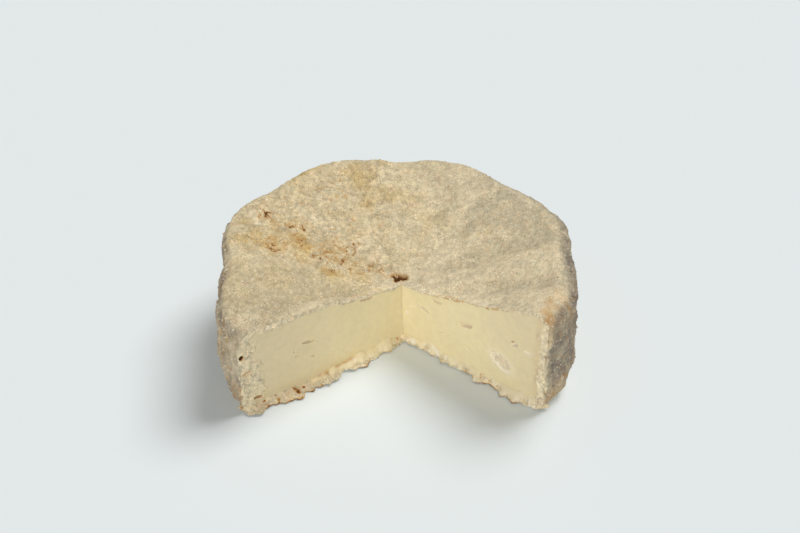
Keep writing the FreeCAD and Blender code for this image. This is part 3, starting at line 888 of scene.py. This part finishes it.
def lip_surface():
    """(points, masks) of the lip: a closed outline carried along both faces, round the corner.

    The outline runs from inside the cheese over the top to the torn edge, and back flat below.
    Its size goes to nothing at both ends, which closes them inside the rind.
    """
    ends = cut_length(LEFT_FACE) - 0.4, cut_length(RIGHT_FACE) - 0.4
    path = np.arange(-ends[0], ends[1] + LIP_STEP, LIP_STEP)
    face = np.where(path < 0, LEFT_FACE, RIGHT_FACE)
    far = np.abs(path)
    along = face[:, None] * np.array((math.sin(HALF_NOTCH), 0.0)) \
        + np.array((0.0, -math.cos(HALF_NOTCH)))
    outward = np.stack([-face * math.cos(HALF_NOTCH), 0 * path - math.sin(HALF_NOTCH)], -1)
    reach = np.where(path < 0, lip_reach(LEFT_FACE, far), lip_reach(RIGHT_FACE, far))
    along_path = np.stack([path, 0 * path, 0 * path], -1)
    reach = np.maximum(reach + 0.4 * smooth_noise(along_path, 3.4, 201), 0.5)
    edge = CUT_POINT + along * far[:, None] + outward * reach[:, None]
    # Near the corner each side's edge keeps to its own half of the notch.
    edge[:, 0] = np.where(path < 0, np.minimum(edge[:, 0], CUT_POINT[0] - 0.25 * far),
                          np.maximum(edge[:, 0], CUT_POINT[0] + 0.25 * far))
    near_corner = far < 3.0
    edge[near_corner, 1] = np.minimum(edge[near_corner, 1],
                                      CUT_POINT[1] - CORNER_REACH + 0.2 * far[near_corner])
    blend = ramp(path, -3.0, 3.0)[:, None]
    inward = -((1 - blend) * outward[0] + blend * outward[-1])
    inner = CUT_POINT + along * far[:, None] + inward * LIP_INSIDE

    # Share of the way from inside to the torn edge, over the top and back below.
    turn = np.linspace(0, 2 * np.pi, LIP_ROUND, endpoint=False)
    share = (0.5 - 0.5 * np.cos(turn))[None, :]
    over = (np.sin(turn) >= 0)[None, :]
    face_share = (LIP_INSIDE / (LIP_INSIDE + reach))[:, None]
    beyond = np.clip((share - face_share) / (1 - face_share), 0, 1)
    uneven = layered_noise(along_path, 6.0, 211)
    rise = np.interp(path, LIP_PLACES, LIP_HEIGHTS)
    rise = (rise * (1 + 0.25 * uneven))[:, None]
    lift = np.clip(0.5 * layered_noise(along_path, 8.0, 221), 0, 1)[:, None] * beyond ** 2
    thick = LIP_EDGE * (1 + 0.3 * uneven)[:, None]
    above = thick + (rise - thick) * (1 - beyond) ** 1.8
    above = above * np.sqrt(np.clip(1 - (0.98 * share) ** 10, 0, 1))
    height = np.where(over, above + lift, 0.06 + lift)
    taper = ramp(ends[0] + path, 0, 2.6) * ramp(ends[1] - path, 1.0, 5.5)
    spot = inner[:, None] + (edge - inner)[:, None] * share[..., None]
    torn = 0.55 * layered_noise(along_path, 1.7, 205, 2)[:, None] * beyond ** 3
    spot = spot - inward[:, None] * torn[..., None]
    points = np.concatenate([spot, height[..., None]], -1)
    middle = np.concatenate([inner, 0 * path[:, None] + 1.0], -1)[:, None]
    points = middle + (points - middle) * taper[:, None, None]

    points = np.concatenate([points, points[:, :1]], 1)
    normals = grid_normals(points)
    normals[:, 0] = normals[:, -1]
    crumb, _own = grain_field(points, 1.25, 231)
    grain, own = grain_field(points, 0.7, 241)
    shade = np.concatenate([beyond, beyond[:, :1]], 1)
    crumbly = ramp(path, -22, -32)[:, None]
    corner = np.exp(-(path / 4.0) ** 2)[:, None]
    cover = ramp(shade + 0.6 * layered_noise(points, 2.5, 245) + 0.6 * crumbly + 0.5 * corner,
                 0.3, 0.75)
    stand = ((0.12 + 0.25 * cover) * domes(crumb, 0.9) + 0.12 * cover * domes(grain, 0.9)
             + 0.2 * layered_noise(points, 2.4, 251)) * taper[:, None]
    # Between the middle and the outer part of the left face the rind has come away, and the crevice
    # it leaves is painted dark as shadow.
    split = (np.exp(-((shade - 0.12) / 0.1) ** 2) * (points[..., 2] > 0.3)
             * (ramp(path, -34, -30) * ramp(path, -17, -21))[:, None])
    stand -= 0.7 * split
    points = points + normals * stand[..., None]
    points[..., 2] = np.maximum(points[..., 2], 0.0)
    points[:, -1] = points[:, 0]
    crumbs_white = ramp(smooth_noise(points, 1.3, 261), 0.35, 0.6) * (1 - crumbly)
    cover = cover * (1 - 0.85 * crumbs_white)
    far_end = ramp(path, 46, 40)[:, None]
    # The torn edge is painted dark near the ground, as the shadow under it.
    edge_shadow = ramp(shade, 0.8, 1.0) * ramp(points[..., 2], 0.7, 0.2)
    masks = {
        "outward": np.abs(path)[:, None] / cut_length(RIGHT_FACE) + 0 * shade,
        "cover": cover, "white_and_highlight": (1.2 * crumbs_white + 0.8 * shade) * (1 - crumbly),
        "rust_and_shade": np.clip(cover * far_end * ramp(smooth_noise(points, 1.4, 265), 0.35, 0.8)
                        + 0.9 * edge_shadow * ramp(smooth_noise(points, 5.0, 267), -0.3, 0.3)
                        + 0.75 * split * ramp(smooth_noise(points, 2.5, 269), -0.8, 0.2),
                        0, 1),
        "yellow": 0.18 + 0 * shade, "grey": 0.35 + 0 * shade,
        "stain_and_shade": (0.15 + 0.4 * crumbly) * cover,
        # The grains are painted lighter on top and darker between, and sunken spots darker, as
        # shade.
        "tone_and_shade": np.clip(0.58 + 0.15 * corner + 0.3 * domes(crumb, 0.9) + 0.25 * domes(grain, 0.9)
                        + 0.3 * (own - 0.5) - 0.5 * np.clip(-stand - 0.1, 0, 0.5), 0, 1),
    }
    return points, masks


lip, lip_masks = lip_surface()
torn_lip = mesh_from_grid("torn_lip", lip + wheel_middle, None, lip_masks, paste_material,
                          flip=True)
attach(torn_lip, "root")
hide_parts("cheese")


# The loose grains -----------------------------------------------------------------------------
# Dry crumbs of the mould, half sunk in the skin.  They crowd in the rind's roughest ground and
# along the cut edges of the top.

GRAINS, GRAIN_SEED = 5200, 5
GRAIN_SIZE, GRAIN_SPREAD, GRAIN_SINK = 0.34, 0.28, 0.45
# Rows at the cut's point and at the foot that carry no grains, and the crowding at the cuts.
BARE_ROWS, CROWDED_COLUMNS, CROWDING = 5, 3, 6


def scattered_grains(count, seed):
    """(corners, faces, masks) of small uneven lumps, half sunk in the rind, as one mesh."""
    draw = np.random.default_rng(seed)
    golden = (1 + math.sqrt(5)) / 2
    lump = np.array([np.roll((0, a, b * golden), turn) for turn in range(3)
                     for a in (-1, 1) for b in (-1, 1)]) / math.hypot(1, golden)
    gap = np.linalg.norm(lump[:, None] - lump[None], axis=-1)
    joined = (gap > 0.1) & (gap < 1.2)
    sides = np.array([(a, b, c) for a, b, c in combinations(range(len(lump)), 3)
                      if joined[a, b] and joined[b, c] and joined[a, c]])
    middle = lump[sides].mean(axis=1)
    turned = np.einsum("ij,ij->i", np.cross(lump[sides[:, 1]] - lump[sides[:, 0]],
                                            lump[sides[:, 2]] - lump[sides[:, 0]]), middle) < 0
    sides[turned] = sides[turned][:, ::-1]

    last = FOOT_ROW - BARE_ROWS
    shown = rind[BARE_ROWS:last + 1]
    across = np.linalg.norm(np.diff(shown, axis=0)[:, :-1], axis=-1)
    around_it = np.linalg.norm(np.diff(shown, axis=1)[:-1], axis=-1)
    weight = across * around_it * (0.25 + 1.6 * rind_masks["yellow"][BARE_ROWS:last, :-1]
                                   + 0.5 * rind_masks["stain_and_shade"][BARE_ROWS:last, :-1])
    weight[:SEAM_ROW, :CROWDED_COLUMNS] *= CROWDING
    weight[:SEAM_ROW, -CROWDED_COLUMNS:] *= CROWDING
    chosen = draw.choice(weight.size, count, p=(weight / weight.sum()).ravel())
    row, column = np.divmod(chosen, weight.shape[1])
    size = GRAIN_SIZE * draw.lognormal(0.0, GRAIN_SPREAD, count)
    place = (shown[row, column]
             - GRAIN_SINK * size[:, None] * rind_normals[BARE_ROWS:][row, column])
    shape = lump[None] * (1 + 0.35 * draw.uniform(-1, 1, (count, len(lump), 1)))
    shape = shape * draw.uniform(0.7, 1.2, (count, 1, 3)) * size[:, None, None]
    corners = (place[:, None] + shape).reshape(-1, 3)
    faces = (sides[None] + len(lump) * np.arange(count)[:, None, None]).reshape(-1, 3)
    masks = {mask: np.repeat(values[BARE_ROWS:][row, column], len(lump))
             for mask, values in rind_masks.items()}
    masks["tone_and_shade"] = np.repeat(draw.uniform(0.25, 0.75, count), len(lump))
    masks["rust_and_shade"] = 0.3 * masks["rust_and_shade"]
    return corners, faces, masks


grain_corners, grain_faces, grain_masks = scattered_grains(GRAINS, GRAIN_SEED)
grain_mesh = bpy.data.meshes.new("loose_grains")
grain_mesh.from_pydata(grain_corners / 1000, [], grain_faces)
grain_mesh.polygons.foreach_set("use_smooth", np.ones(len(grain_faces), bool))
store_masks(grain_mesh, grain_masks)
grain_mesh.materials.append(rind_material)
loose_grains = add_object("loose_grains", grain_mesh)
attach(loose_grains, "root")
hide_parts("cheese")
